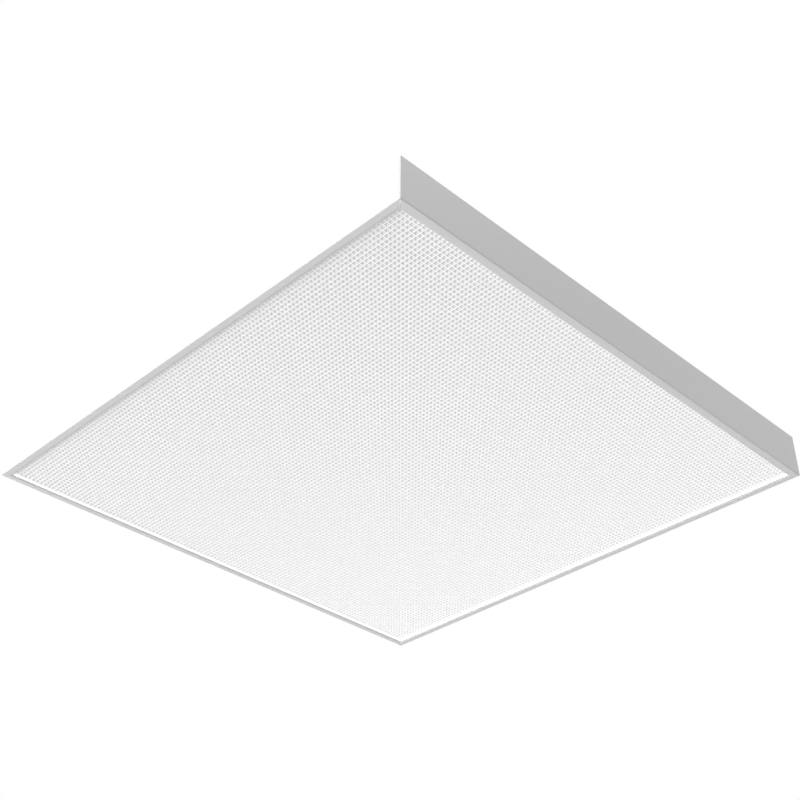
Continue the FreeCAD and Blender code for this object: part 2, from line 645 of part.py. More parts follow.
def make_board_clips():
    """Hooks punched out of the pan that hold each board by its long edges."""
    things = []
    for name, sx, sy in BOARD_PLACES:
        for side in SIGNS:
            x = f"{sx}{BOARD_X}"
            stem_y = f"({sy}{ROW_Y} + {side}(Size.board_width + Size.clip_stem) / 2)"
            hook_y = f"({sy}{ROW_Y} + {side}(Size.board_width - Size.clip_hook + 2 * Size.clip_stem) / 2)"
            stem = bar(f"{name}_stem_{len(things)}", x, stem_y, BOARD_BOTTOM, "Size.clip_width",
                       "Size.clip_stem", "Size.board_gauge")
            hook = bar(f"{name}_hook_{len(things)}", x, hook_y, f"{BOARD_BOTTOM} - Size.clip_stem",
                       "Size.clip_width", "Size.clip_hook", "Size.clip_stem")
            things.append(fused(f"board_clip_{len(things)}", [stem, hook]))
    return group("board_clips", things)


def make_links():
    """Connectors that bridge the gap between the two boards of a row."""
    things = []
    for row, sy in enumerate(SIGNS):
        things.append(bar(f"link_{row}", "0", f"{sy}{ROW_Y}", f"{BOARD_BOTTOM} - Size.link_height",
                          "Size.link_width", "Size.link_depth", "Size.link_height"))
    return group("board_connectors", things)


def flat_cable(name, points):
    """Flat cable in the plane x = 0, along straight runs joined by tangent arcs."""
    bend = number("Size.cable_bend")
    edges = []
    start = points[0]
    for before, corner, after in zip(points, points[1:], points[2:]):
        back = (before - corner).normalize()
        ahead = (after - corner).normalize()
        half_turn = back.getAngle(ahead) / 2
        enter = corner + back * (bend / math.tan(half_turn))
        leave = corner + ahead * (bend / math.tan(half_turn))
        inward = (back + ahead).normalize()
        middle = corner + inward * (bend / math.sin(half_turn) - bend)
        edges.append(Part.LineSegment(start, enter).toShape())
        edges.append(Part.Arc(enter, middle, leave).toShape())
        start = leave
    edges.append(Part.LineSegment(start, points[-1]).toShape())
    half_width = number("Size.cable_width / 2")
    half_thick = number("Size.cable_thick / 2")
    ends = [(-half_width, -half_thick), (half_width, -half_thick), (half_width, half_thick),
            (-half_width, half_thick), (-half_width, -half_thick)]
    section = Part.makePolygon([points[0] + Vector(across, 0, up) for across, up in ends])
    thing = doc.addObject("Part::Feature", name)
    thing.Shape = Part.Wire(edges).makePipeShell([section], True, False)
    return thing


def spot(x, y, z):
    return Vector(number(x), number(y), number(z))


def make_led_harness():
    """Flat cable from the driver through the bushing, and a jumper between the rows."""
    high = f"{BOX_FLOOR} + Size.driver_height / 2"
    low = f"({PAN_CEILING} - Size.bushing_flange - Size.seat_gap - Size.cable_thick)"
    middle = f"{low} + Size.cable_thick / 2"
    corners = [spot("0", f"{DRIVER_Y} + Size.driver_width", high), spot("0", BUSHING_Y, high),
               spot("0", BUSHING_Y, middle), spot("0", f"-{ROW_Y} - Size.link_depth / 2", middle)]
    feed = flat_cable("feed_cable", corners)
    jumper = bar("row_jumper", "0", "0", low, "Size.cable_width", f"2 * {ROW_Y} - Size.link_depth",
                 "Size.cable_thick")
    return group("led_harness", [feed, jumper])


# ---------------------------------------------------------------- driver compartment

FOOT_X = "(Size.box_length / 2 + Size.foot / 2)"
FOOT_Y = f"({BOX_FRONT} + Size.box_width / 2)"
FOOT_SCREWS = [(f"{sign}{FOOT_X}", FOOT_Y) for sign in SIGNS]
GROUND_SCREW = ("-(Size.box_length / 2 - Size.ground_inset)", f"({BOX_BACK} - Size.ground_back)")
ENTRY_Y = f"({FOOT_Y} + Size.entry_offset)"
ENTRY_Z = f"({BOX_FLOOR} + Size.entry_height)"


KNUCKLE = "(Size.knuckle_length - Size.knuckle_play)"
LID_KNUCKLES = ["Size.knuckle_start", f"-Size.knuckle_start - {KNUCKLE}"]
BOX_KNUCKLES = ["Size.knuckle_start + Size.knuckle_length",
                f"-Size.knuckle_start - Size.knuckle_length - {KNUCKLE}"]


def knuckles(name, places):
    """Rolled knuckles on the cover's hinge axis."""
    return [rod(f"{name}_{row}", "X", x, COVER_AXIS_Y, COVER_AXIS_Z, "Size.knuckle_radius", KNUCKLE)
            for row, x in enumerate(places)]


def hinge_bore(name):
    return rod(name, "X", "-Size.module / 2", COVER_AXIS_Y, COVER_AXIS_Z, "Size.cover_pin + Size.pin_play",
               "Size.module")


def make_driver_box():
    """Open tray with feet, conduit entries, a bushing hole and two hinge knuckles."""
    outside = block("box_outside", "-Size.box_length / 2", BOX_FRONT, PAN_TOP, "Size.box_length",
                    "Size.box_width", "Size.box_height")
    feet = bar("box_feet", "0", FOOT_Y, PAN_TOP, "Size.box_length + 2 * Size.foot", "Size.box_width",
               "Size.box_gauge")
    hinge = knuckles("box_knuckle", BOX_KNUCKLES)
    webs = [block(f"box_web_{row}", x, f"{BOX_BACK} - Size.box_gauge",
                  f"{COVER_AXIS_Z} - Size.knuckle_radius", KNUCKLE, "Size.knuckle_reach + Size.box_gauge",
                  "Size.box_gauge") for row, x in enumerate(BOX_KNUCKLES)]
    inside = block("box_inside", "-Size.box_length / 2 + Size.box_gauge", f"{BOX_FRONT} + Size.box_gauge",
                   BOX_FLOOR, "Size.box_length - 2 * Size.box_gauge",
                   "Size.box_width - 2 * Size.box_gauge", "Size.box_height")
    entries = rod("box_entries", "X", "-Size.module / 2", ENTRY_Y, ENTRY_Z, "Size.entry_radius",
                  "Size.module")
    under = f"{PAN_TOP} - Size.overcut"
    through = "Size.box_gauge + 2 * Size.overcut"
    bushing = rod("box_bushing", "Z", "0", BUSHING_Y, under, "Size.bushing_radius", through)
    bore = hinge_bore("box_bore")
    screws = [rod(f"box_foot_hole_{row}", "Z", x, y, under, HOLE, through)
              for row, (x, y) in enumerate(FOOT_SCREWS + [GROUND_SCREW])]
    inner_holes = [rod(f"box_driver_hole_{row}", "Z", x, y, under, HOLE, through)
                   for row, (x, y) in enumerate(DRIVER_SCREWS)]
    tray = fused("box_tray", [outside, feet] + hinge + webs)
    return cut("driver_box", tray, [inside, entries, bushing, bore] + screws + inner_holes)


KEEPER_TOP = f"({BOX_TOP} - Size.keeper_drop)"


def make_keeper():
    """Slotted bracket under the cover that the quarter-turn stud locks behind."""
    bottom = f"{KEEPER_TOP} - Size.keeper_gauge"
    shelf = bar("keeper_shelf", "0", STUD_Y, bottom, "Size.keeper_width",
                "2 * (Size.stud_inset - Size.box_gauge)", "Size.keeper_gauge")
    back = bar("keeper_back", "0", f"{BOX_FRONT} + Size.box_gauge + Size.keeper_gauge / 2",
               f"{KEEPER_TOP} - Size.keeper_back", "Size.keeper_width", "Size.keeper_gauge",
               "Size.keeper_back")
    angle = fused("keeper_angle", [shelf, back])
    through = "Size.keeper_gauge + 2 * Size.overcut"
    slot = bar("keeper_slot", "0", STUD_Y, f"{bottom} - Size.overcut",
               "Size.stud_bar_width + 2 * Size.keeper_play", "Size.stud_bar + 2 * Size.keeper_play",
               through)
    eye = rod("keeper_eye", "Z", "0", STUD_Y, f"{bottom} - Size.overcut",
              "Size.stud_radius + Size.keeper_play", through)
    return cut("stud_keeper", angle, [slot, eye])


DRIVER_SCREWS = [(f"{sign}(Size.driver_length / 2 + Size.driver_ear / 2)",
                  f"{DRIVER_Y} + Size.driver_width / 2") for sign in SIGNS]


def make_driver():
    """Folded metal driver case with a fixing ear at each end."""
    body = new_body("led_driver")
    low = BOX_FLOOR
    high = f"{BOX_FLOOR} + Size.driver_height"
    back = f"{DRIVER_Y} + Size.driver_width"
    case = pad(body, outline(body, "YZ_Plane", "0", [[(DRIVER_Y, low), (back, low), (back, high),
                                                      (DRIVER_Y, high)]]),
               "Size.driver_length", midplane=True)
    rounded(body, case, "Size.bend", [("0", DRIVER_Y, high), ("0", back, high)])
    ear = "(Size.driver_length / 2 + Size.driver_ear)"
    ears = [[(f"-{ear}", DRIVER_Y), (ear, DRIVER_Y), (ear, back), (f"-{ear}", back)]]
    pad(body, outline(body, "XY_Plane", low, ears), "Size.ear_gauge")
    holes = [(x, y, HOLE) for x, y in DRIVER_SCREWS]
    pocket(body, circles(body, "XY_Plane", f"{low} + Size.ear_gauge + Size.overcut", holes),
           "Size.ear_gauge + 2 * Size.overcut")
    return body


TERMINAL_X = "(Size.driver_length / 2 - Size.terminal_length / 2)"
TERMINAL_FRONT = f"({BOX_BACK} - Size.box_gauge - Size.terminal_inset - Size.terminal_width)"
TERMINAL_WAYS = [f"{TERMINAL_X} + Size.terminal_length / 3 * {step}" for step in (-1, 0, 1)]
MOUTH_Z = f"{BOX_FLOOR} + Size.terminal_height / 2"


def make_terminal_block():
    """Three-way push-in block with a mouth for each lead."""
    case = block("terminal_case", f"{TERMINAL_X} - Size.terminal_length / 2", TERMINAL_FRONT, BOX_FLOOR,
                 "Size.terminal_length", "Size.terminal_width", "Size.terminal_height")
    mouths = [block(f"terminal_mouth_{row}", f"{x} - Size.mouth_side / 2",
                    f"{TERMINAL_FRONT} - Size.overcut", f"{MOUTH_Z} - Size.mouth_side / 2",
                    "Size.mouth_side", "Size.mouth_depth + Size.overcut", "Size.mouth_side")
              for row, x in enumerate(TERMINAL_WAYS)]
    return cut("terminal_block", case, mouths)


def make_supply_leads():
    """Three leads from the driver's side to the mouths of the terminal block."""
    start = f"({DRIVER_Y} + Size.driver_width)"
    things = [rod(f"supply_lead_{row}", "Y", x, start, MOUTH_Z, "Size.lead_radius",
                  f"{TERMINAL_FRONT} + Size.mouth_depth - {start}") for row, x in enumerate(TERMINAL_WAYS)]
    return group("supply_leads", things)


def make_bushing():
    """Snap bushing through the box floor and the pan."""
    bottom = f"{PAN_CEILING} - Size.bushing_flange"
    height = "Size.box_gauge + Size.pan_gauge + 2 * Size.bushing_flange"
    barrel = rod("bushing_barrel", "Z", "0", BUSHING_Y, bottom, "Size.bushing_radius - Size.hole_play",
                 height)
    rim = rod("bushing_rim", "Z", "0", BUSHING_Y, BOX_FLOOR, "Size.bushing_radius + Size.bushing_flange",
              "Size.bushing_flange")
    bore = rod("bushing_way", "Z", "0", BUSHING_Y, f"{bottom} - Size.overcut", "Size.bushing_bore",
               f"{height} + 2 * Size.overcut")
    return cut("wire_bushing", fused("bushing_solid", [barrel, rim]), [bore])


def make_screws(name, spots, top, reach):
    things = [screw(f"{name}_{row}", x, y, top, reach) for row, (x, y) in enumerate(spots)]
    return group(name, things)


def make_cover():
    """Lid with lips on three sides, hinge knuckles and a hole for the stud."""
    reach = "(Size.box_length / 2 + Size.lid_gap + Size.lid_gauge)"
    front = f"({BOX_FRONT} - Size.lid_gap - Size.lid_gauge)"
    depth = f"({BOX_BACK} - Size.box_gauge - {front})"
    shell = block("lid_shell", f"-{reach}", front, f"{LID_BOTTOM} - Size.lid_lip", f"2 * {reach}", depth,
                  "Size.lid_lip + Size.lid_gauge")
    hollow = block("lid_hollow", f"-{reach} + Size.lid_gauge", f"{front} + Size.lid_gauge",
                   f"{LID_BOTTOM} - Size.lid_lip - Size.overcut", f"2 * ({reach} - Size.lid_gauge)",
                   f"{depth} + Size.overcut", "Size.lid_lip + Size.overcut")
    tray = cut("lid_tray", shell, [hollow])
    hinge = knuckles("lid_knuckle", LID_KNUCKLES)
    webs = [block(f"lid_web_{row}", x, f"{BOX_BACK} - 2 * Size.box_gauge", LID_BOTTOM,
                  KNUCKLE, "Size.knuckle_reach + 2 * Size.box_gauge", "Size.lid_gauge")
            for row, x in enumerate(LID_KNUCKLES)]
    bore = hinge_bore("lid_bore")
    stud = rod("lid_stud_hole", "Z", "0", STUD_Y, f"{LID_BOTTOM} - Size.overcut",
               "Size.stud_radius + Size.pin_play", "Size.lid_gauge + 2 * Size.overcut")
    return cut("box_cover", fused("lid_solid", [tray] + hinge + webs), [bore, stud])


def make_cover_pins():
    length = "2 * Size.knuckle_length - Size.knuckle_play"
    right = rod("cover_pin_right", "X", "Size.knuckle_start", COVER_AXIS_Y, COVER_AXIS_Z, "Size.cover_pin",
                length)
    left = rod("cover_pin_left", "X", f"-Size.knuckle_start - ({length})", COVER_AXIS_Y, COVER_AXIS_Z,
               "Size.cover_pin", length)
    return group("cover_hinge_pins", [right, left])


def make_stud():
    """Quarter-turn stud: slotted head on the cover, cross bar under the keeper."""
    cap_bottom = f"({LID_BOTTOM} + Size.lid_gauge + Size.seat_gap / 2)"
    bar_bottom = f"({KEEPER_TOP} - Size.keeper_gauge - Size.seat_gap - Size.stud_bar_gauge)"
    head = rod("stud_head", "Z", "0", STUD_Y, cap_bottom, "Size.stud_head", "Size.stud_cap")
    neck = rod("stud_neck", "Z", "0", STUD_Y, bar_bottom, "Size.stud_radius",
               f"{cap_bottom} - {bar_bottom}")
    cross = bar("stud_cross", "0", STUD_Y, bar_bottom, "Size.stud_bar", "Size.stud_bar_width",
                "Size.stud_bar_gauge")
    groove = bar("stud_groove", "0", STUD_Y, f"{cap_bottom} + Size.stud_cap - Size.stud_slot",
                 "2 * Size.stud_head + Size.overcut", "Size.stud_slot", "Size.stud_slot + Size.overcut")
    return cut("quarter_turn_stud", fused("stud_solid", [head, neck, cross]), [groove])


def make_parts():
    """Every node of the light, in the order of assembly."""
    make_back_pan()
    make_end_plate("feed_end_plate", feed=True)
    make_end_plate("blind_end_plate", feed=False)
    make_plate_screws()
    make_hanger_brackets()
    make_rail("latch_rail", 0, add_keeper_tabs)
    make_rail("right_rail", 90, pivot_hole(""))
    make_rail("hinge_rail", 180)
    make_rail("left_rail", -90, pivot_hole("-"))
    make_lens()
    make_hinge_pins()
    make_corner_keys()
    make_lens_retainers()
    make_catch("left_catch", "-")
    make_catch("right_catch", "")
    for name, sx, sy in BOARD_PLACES:
        make_board(name, sx, sy)
    make_emitters()
    make_board_clips()
    make_links()
    make_led_harness()
    make_driver_box()
    make_screws("driver_box_screws", FOOT_SCREWS, BOX_FLOOR, "Size.screw_reach")
    screw("ground_screw", GROUND_SCREW[0], GROUND_SCREW[1], BOX_FLOOR, "Size.screw_reach")
    make_keeper()
    make_driver()
    make_screws("driver_screws", DRIVER_SCREWS, f"({BOX_FLOOR} + Size.ear_gauge)",
                "(Size.ear_gauge + Size.box_gauge)")
    make_terminal_block()
    make_supply_leads()
    make_bushing()
    make_cover()
    make_cover_pins()
    make_stud()


NODES = [
    "back_pan", "feed_end_plate", "blind_end_plate", "end_plate_screws", "hanger_brackets",
    "latch_rail", "right_rail", "hinge_rail", "left_rail", "prismatic_lens", "hinge_pins", "corner_keys",
    "lens_retainers", "left_catch", "right_catch", "led_board_1", "led_board_2", "led_board_3",
    "led_board_4", "led_emitters", "board_clips", "board_connectors", "led_harness", "driver_box",
    "driver_box_screws", "stud_keeper", "led_driver", "driver_screws", "terminal_block",
    "supply_leads", "wire_bushing", "box_cover", "cover_hinge_pins", "quarter_turn_stud",
    "ground_screw",
]


def check_and_export():
    doc.recompute()
    for thing in doc.Objects:
        if "Invalid" in thing.State or "Error" in thing.State:
            raise RuntimeError(f"{thing.Name} failed: {thing.State}")
    os.makedirs("parts", exist_ok=True)
    for name in NODES:
        shape = doc.getObject(name).Shape
        if shape.isNull() or not shape.isValid():
            raise RuntimeError(f"{name} is not a valid shape")
    for name in NODES:
        doc.getObject(name).Shape.exportStep(f"parts/{name}.step")


make_parts()
check_and_export()
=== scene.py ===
import math

import bpy
from mathutils import Matrix, Vector


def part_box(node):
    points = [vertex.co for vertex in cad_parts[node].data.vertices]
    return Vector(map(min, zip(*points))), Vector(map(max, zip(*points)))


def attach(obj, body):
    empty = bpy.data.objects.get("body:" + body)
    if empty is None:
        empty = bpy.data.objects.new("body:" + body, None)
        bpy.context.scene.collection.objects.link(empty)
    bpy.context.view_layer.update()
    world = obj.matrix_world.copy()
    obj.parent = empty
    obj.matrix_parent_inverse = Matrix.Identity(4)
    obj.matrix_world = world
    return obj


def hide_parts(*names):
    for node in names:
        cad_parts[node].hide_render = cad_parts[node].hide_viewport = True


# Recessed troffer light, seen from below. Metres, in the frame of the CAD.
MM = 0.001

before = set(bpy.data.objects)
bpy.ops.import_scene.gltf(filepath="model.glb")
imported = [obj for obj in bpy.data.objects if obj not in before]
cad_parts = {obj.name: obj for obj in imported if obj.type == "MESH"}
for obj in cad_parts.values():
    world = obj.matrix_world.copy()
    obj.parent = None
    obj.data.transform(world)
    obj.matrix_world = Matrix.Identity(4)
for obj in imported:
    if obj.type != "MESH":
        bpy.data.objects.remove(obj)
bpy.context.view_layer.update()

# Lens cells, as the photograph shows them.
CELLS_A_SIDE = 118
RIDGE_SHARE = 0.18
PRISM_DEPTH = 1.45 * MM
GRID_SHIFT = (0.45 * MM, 1.55 * MM)

# Sizes of the CAD that no box gives.
RAIL_GAUGE = 1.1 * MM
LEDGE = 1.4 * MM
LEDGE_GAUGE = 0.8 * MM
HEAD_RADIUS = 4.0 * MM
HEAD_HEIGHT = 2.2 * MM
BOARDS = 4
LED_PITCH = 30.0 * MM
LEDS_A_LINE = 8
LINES = 2
ENTRY_RADIUS = 11.1 * MM
TERMINAL_INSET = 9.0 * MM
TERMINAL_WAYS = 3
BRACKET_SIDE = 20 * MM
BRACKET_GAUGE = 1.5 * MM

# Small trim that only this script makes.
HAIR = 0.02 * MM
SKIN = 0.12 * MM
LIP_START = 0.5 * MM
SEAL_WIDTH = 0.35 * MM
SEAL_HEIGHT = 1.2 * MM
WASHER_RADIUS = 5.0 * MM
WASHER_HEIGHT = 0.5 * MM
WASHER_EDGE_SHARE = 0.6
WASHER_TOP_SHARE = 0.94
SLOT_LENGTH = 5.4 * MM
SLOT_WIDTH = 0.9 * MM
PHOSPHOR_RADIUS = 1.15 * MM
DOME = 0.12 * MM
DOME_TIP_SHARE = 0.6
PAD_REACH = 2.0 * MM
PAD_LENGTH = 0.8 * MM
PAD_WIDTH = 2.2 * MM
PAD_HEIGHT = 0.1 * MM
KNOCKOUT_X = 80 * MM
GROOVE = 0.3 * MM
BUTTON_SIDE = 5.5 * MM
BUTTON_HEIGHT = 1.0 * MM
WELD_RADIUS = 2.2 * MM
WELD_PITCH = 10 * MM
WELD_BURR = 0.18 * MM

# Corners of a square, anticlockwise from above, and the sides that start at them.
CORNERS = ((-1, -1), (1, -1), (1, 1), (-1, 1))
ALL_SIDES = (0, 1, 2, 3)
FAR_SIDES = (1, 2)

# Looks.
RAMP_START, RAMP_END = 0.35, 0.65
ACRYLIC_IOR = 1.6
RIDGE_GLOW = 0.27
# Pits glow less than ridges: painted shade in the pits.
PIT_SHADED_GLOW = 0.19
# Glow of the white skin on the far rails: painted light from the lens.
LIP_PAINTED_GLOW = 0.55
# Extra lens glow rising towards one corner: painted light.
PAINTED_GLOW_RISE = 0.14
PAINTED_GLOW_TOWARD = (2.1, 1.0)
WHITE = (1, 1, 1, 1)

# Camera, solved from the corners of the bezel in the photograph.
CAMERA_AT = Vector((-876.17, -876.17, -769.74)) * MM
LOOK_UP = math.radians(35.2644)
FOCAL_PIXELS = 1363.8
CENTRE_X, CENTRE_Y = 400.56, 394.10
PICTURE = 800
SENSOR_WIDTH = 36
CLIP_START = 0.01

# Stage and lights.
FLOOR_LEVEL = -3.2
FLOOR_REACH = 14.0
FLOOR_GLOW = 0.42
AMBIENT = 0.44
KEY_AT, KEY_SIZE, KEY_POWER = (-6.5, 3.5, -1.7), 4.0, 540
TOP_AT, TOP_SIZE, TOP_POWER = (0.5, -0.6, 2.6), 2.0, 45


# ---------------------------------------------------------------- materials

def material(name, color, roughness=0.5, metallic=0.0, coat=0.0):
    """Plain material, for the functions below to work on."""
    made = bpy.data.materials.new(name)
    made.use_nodes = True
    shader = shader_of(made)
    shader.inputs["Base Color"].default_value = (*color, 1)
    shader.inputs["Roughness"].default_value = roughness
    shader.inputs["Metallic"].default_value = metallic
    shader.inputs["Coat Weight"].default_value = coat
    return made


def shader_of(made):
    return made.node_tree.nodes["Principled BSDF"]


def object_space(tree):
    """Coordinates that ride with the object."""
    return tree.nodes.new("ShaderNodeTexCoord").outputs["Object"]


def object_noise(made, scale, detail=3.0, stretch=(1, 1, 1)):
    """Noise in object coordinates, optionally stretched along an axis."""
    tree = made.node_tree
    mapping = tree.nodes.new("ShaderNodeMapping")
    mapping.inputs["Scale"].default_value = stretch
    noise = tree.nodes.new("ShaderNodeTexNoise")
    noise.inputs["Scale"].default_value = scale
    noise.inputs["Detail"].default_value = detail
    tree.links.new(object_space(tree), mapping.inputs["Vector"])
    tree.links.new(mapping.outputs["Vector"], noise.inputs["Vector"])
    return noise


def vary_color(made, texture, dark, light):
    """Base colour between two close tones."""
    tree = made.node_tree
    ramp = tree.nodes.new("ShaderNodeValToRGB")
    ramp.color_ramp.elements[0].position = RAMP_START
    ramp.color_ramp.elements[0].color = (*dark, 1)
    ramp.color_ramp.elements[1].position = RAMP_END
    ramp.color_ramp.elements[1].color = (*light, 1)
    tree.links.new(texture, ramp.inputs["Fac"])
    tree.links.new(ramp.outputs["Color"], shader_of(made).inputs["Base Color"])


def add_bump(made, texture, strength, distance):
    tree = made.node_tree
    bump = tree.nodes.new("ShaderNodeBump")
    bump.inputs["Strength"].default_value = strength
    bump.inputs["Distance"].default_value = distance
    tree.links.new(texture, bump.inputs["Height"])
    tree.links.new(bump.outputs["Normal"], shader_of(made).inputs["Normal"])


def fine_grain(made, scale, strength, distance):
    """Fine bump over the whole surface. Gives its noise."""
    grain = object_noise(made, scale, detail=1.0)
    add_bump(made, grain.outputs["Fac"], strength, distance)
    return grain


def white_enamel():
    """Baked white enamel with a faint orange peel."""
    made = material("white_enamel", (0.77, 0.77, 0.77), roughness=0.42, coat=0.1)
    peel = fine_grain(made, scale=900, strength=0.06, distance=0.05 * MM)
    vary_color(made, peel.outputs["Fac"], (0.765, 0.765, 0.765), (0.775, 0.775, 0.775))
    return made


def galvanised():
    """Zinc coated sheet with its crystal spangle."""
    made = material("galvanised", (0.58, 0.60, 0.61), roughness=0.42, metallic=0.85)
    tree = made.node_tree
    cells = tree.nodes.new("ShaderNodeTexVoronoi")
    cells.inputs["Scale"].default_value = 260
    tree.links.new(object_space(tree), cells.inputs["Vector"])
    separate = tree.nodes.new("ShaderNodeSeparateColor")
    tree.links.new(cells.outputs["Color"], separate.inputs["Color"])
    vary_color(made, separate.outputs["Red"], (0.55, 0.57, 0.58), (0.62, 0.64, 0.65))
    return made


def brushed(name, dark, light, roughness):
    """Plated or plain metal with a grain along one axis."""
    made = material(name, light, roughness=roughness, metallic=0.9)
    grain = object_noise(made, scale=600, detail=2.0, stretch=(1, 12, 1))
    vary_color(made, grain.outputs["Fac"], dark, light)
    return made


def moulded(name, color, roughness=0.5):
    """Plastic, ceramic or paint with a fine grain."""
    made = material(name, color, roughness=roughness)
    fine_grain(made, scale=1500, strength=0.05, distance=0.03 * MM)
    return made


def lead_colors():
    """Black, white and green insulation, by the lead's place along the terminal block."""
    made = material("supply_lead", (0.5, 0.5, 0.5), roughness=0.4)
    tree = made.node_tree
    low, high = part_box("terminal_block")
    separate = tree.nodes.new("ShaderNodeSeparateXYZ")
    along = tree.nodes.new("ShaderNodeMapRange")
    along.inputs["From Min"].default_value = low[0]
    along.inputs["From Max"].default_value = high[0]
    ramp = tree.nodes.new("ShaderNodeValToRGB")
    ramp.color_ramp.interpolation = "CONSTANT"
    ramp.color_ramp.elements[0].color = (0.03, 0.03, 0.03, 1)
    ramp.color_ramp.elements[1].position = 1 / TERMINAL_WAYS
    ramp.color_ramp.elements[1].color = (0.82, 0.82, 0.80, 1)
    ramp.color_ramp.elements.new(2 / TERMINAL_WAYS).color = (0.05, 0.35, 0.12, 1)
    tree.links.new(object_space(tree), separate.inputs[0])
    tree.links.new(separate.outputs["X"], along.inputs["Value"])
    tree.links.new(along.outputs[0], ramp.inputs["Fac"])
    tree.links.new(ramp.outputs["Color"], shader_of(made).inputs["Base Color"])
    return made


def acrylic(name, color, glow):
    """Translucent white acrylic, softly lit from behind, with painted light rising towards one corner.
    """
    made = material(name, color, roughness=0.25)
    shader = shader_of(made)
    shader.inputs["IOR"].default_value = ACRYLIC_IOR
    shader.inputs["Emission Strength"].default_value = glow + PAINTED_GLOW_RISE
    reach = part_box("prismatic_lens")[1][0]
    tree = made.node_tree
    # Emission colour ramps up towards one corner: painted light, not a real backlight.
    painted_toward = tree.nodes.new("ShaderNodeVectorMath")
    painted_toward.operation = "DOT_PRODUCT"
    painted_toward.inputs[1].default_value = (*PAINTED_GLOW_TOWARD, 0)
    painted_rise = tree.nodes.new("ShaderNodeMapRange")
    painted_rise.inputs["From Min"].default_value = -reach * sum(PAINTED_GLOW_TOWARD)
    painted_rise.inputs["From Max"].default_value = reach * sum(PAINTED_GLOW_TOWARD)
    ramp = tree.nodes.new("ShaderNodeValToRGB")
    least = glow / (glow + PAINTED_GLOW_RISE)
    ramp.color_ramp.elements[0].color = (least, least, least, 1)
    tree.links.new(object_space(tree), painted_toward.inputs[0])
    tree.links.new(painted_toward.outputs["Value"], painted_rise.inputs["Value"])
    tree.links.new(painted_rise.outputs[0], ramp.inputs["Fac"])
    tree.links.new(ramp.outputs["Color"], shader.inputs["Emission Color"])
    fine_grain(made, scale=2500, strength=0.03, distance=0.02 * MM)
    return made


def lip_painted_glow():
    """Inner lip of the door, with a painted glow standing in for light from the lens beside it."""
    made = material("lip_painted_glow", (0.9, 0.9, 0.9), roughness=0.5)
    shader = shader_of(made)
    shader.inputs["Emission Color"].default_value = WHITE
    shader.inputs["Emission Strength"].default_value = LIP_PAINTED_GLOW
    fine_grain(made, scale=1500, strength=0.03, distance=0.02 * MM)
    return made


ENAMEL = white_enamel()
GALVANISED = galvanised()
ZINC = brushed("zinc_plate", (0.55, 0.55, 0.52), (0.66, 0.66, 0.62), 0.35)
SPRING = brushed("spring_steel", (0.36, 0.37, 0.39), (0.48, 0.49, 0.51), 0.3)
BOARD = moulded("board_mask", (0.84, 0.85, 0.86), 0.35)
CERAMIC = moulded("emitter_body", (0.86, 0.85, 0.80), 0.35)
PHOSPHOR = moulded("emitter_phosphor", (0.93, 0.76, 0.24), 0.3)
SOLDER = brushed("solder", (0.62, 0.62, 0.62), (0.74, 0.74, 0.73), 0.28)
NYLON = moulded("white_nylon", (0.82, 0.81, 0.78), 0.45)
BLACK = moulded("black_nylon", (0.03, 0.03, 0.03), 0.4)
CABLE = moulded("cable_cover", (0.60, 0.61, 0.62), 0.5)
CASE = moulded("driver_case", (0.80, 0.80, 0.79), 0.4)
GREEN = moulded("green_screw", (0.04, 0.30, 0.10), 0.35)
LEADS = lead_colors()
BUTTON = moulded("terminal_button", (0.85, 0.28, 0.04), 0.4)
# Dark metal for weld spots and cut edges, and as painted shade in screw slots and knockout grooves.
DARK_EDGE_AND_SHADE = brushed("punched_edge_and_painted_shade", (0.24, 0.25, 0.26), (0.34, 0.35, 0.36), 0.45)
# Pits are a darker, dimmer copy of the ridges' acrylic: painted shade in the pits.
RIDGES = acrylic("lens_ridges", (0.86, 0.86, 0.86), RIDGE_GLOW)
PITS_PAINTED_SHADE = acrylic("lens_pits_painted_shade", (0.60, 0.60, 0.60), PIT_SHADED_GLOW)
LIP_PAINTED_LIGHT = lip_painted_glow()

# Each material with the CAD nodes that wear it. The lens is missing, because a piece below replaces it.
WORN_BY = (
    (ENAMEL, ("back_pan", "feed_end_plate", "blind_end_plate", "latch_rail", "hinge_rail", "left_rail",
              "right_rail", "board_clips")),
    (GALVANISED, ("hanger_brackets", "corner_keys", "driver_box", "stud_keeper", "box_cover")),
    (ZINC, ("end_plate_screws", "hinge_pins", "driver_box_screws", "driver_screws", "cover_hinge_pins",
            "quarter_turn_stud")),
    (SPRING, ("lens_retainers", "left_catch", "right_catch")),
    (BOARD, [f"led_board_{number}" for number in range(1, BOARDS + 1)]),
    (CERAMIC, ("led_emitters",)),
    (NYLON, ("board_connectors", "terminal_block")),
    (CABLE, ("led_harness",)),
    (LEADS, ("supply_leads",)),
    (BLACK, ("wire_bushing",)),
    (CASE, ("led_driver",)),
    (GREEN, ("ground_screw",)),
)


def dress_nodes():
    for made, names in WORN_BY:
        for name in names:
            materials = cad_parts[name].data.materials
            materials.clear()
            materials.append(made)


# ---------------------------------------------------------------- pieces

def linked(name, data):
    """New object in the scene."""
    thing = bpy.data.objects.new(name, data)
    bpy.context.scene.collection.objects.link(thing)
    return thing


def piece(name, vertices, faces, made, body, smooth=False):
    """Mesh object that rides on a body."""
    mesh = bpy.data.meshes.new(name)
    mesh.from_pydata([tuple(v) for v in vertices], [], faces)
    mesh.validate()
    mesh.materials.append(made)
    for polygon in mesh.polygons:
        polygon.use_smooth = smooth
    thing = linked(name, mesh)
    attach(thing, body)
    return thing


def joined(name, shapes, made, body, smooth=False):
    """One piece from several lists of vertices and faces."""
    vertices, faces = [], []
    for shape_vertices, shape_faces in shapes:
        start = len(vertices)
        vertices += shape_vertices
        faces += [tuple(start + index for index in face) for face in shape_faces]
    return piece(name, vertices, faces, made, body, smooth)


def spread(low, high, count):
    """Evenly spaced values from low to high."""
    if count == 1:
        return [(low + high) / 2]
    return [low + (high - low) * step / (count - 1) for step in range(count)]


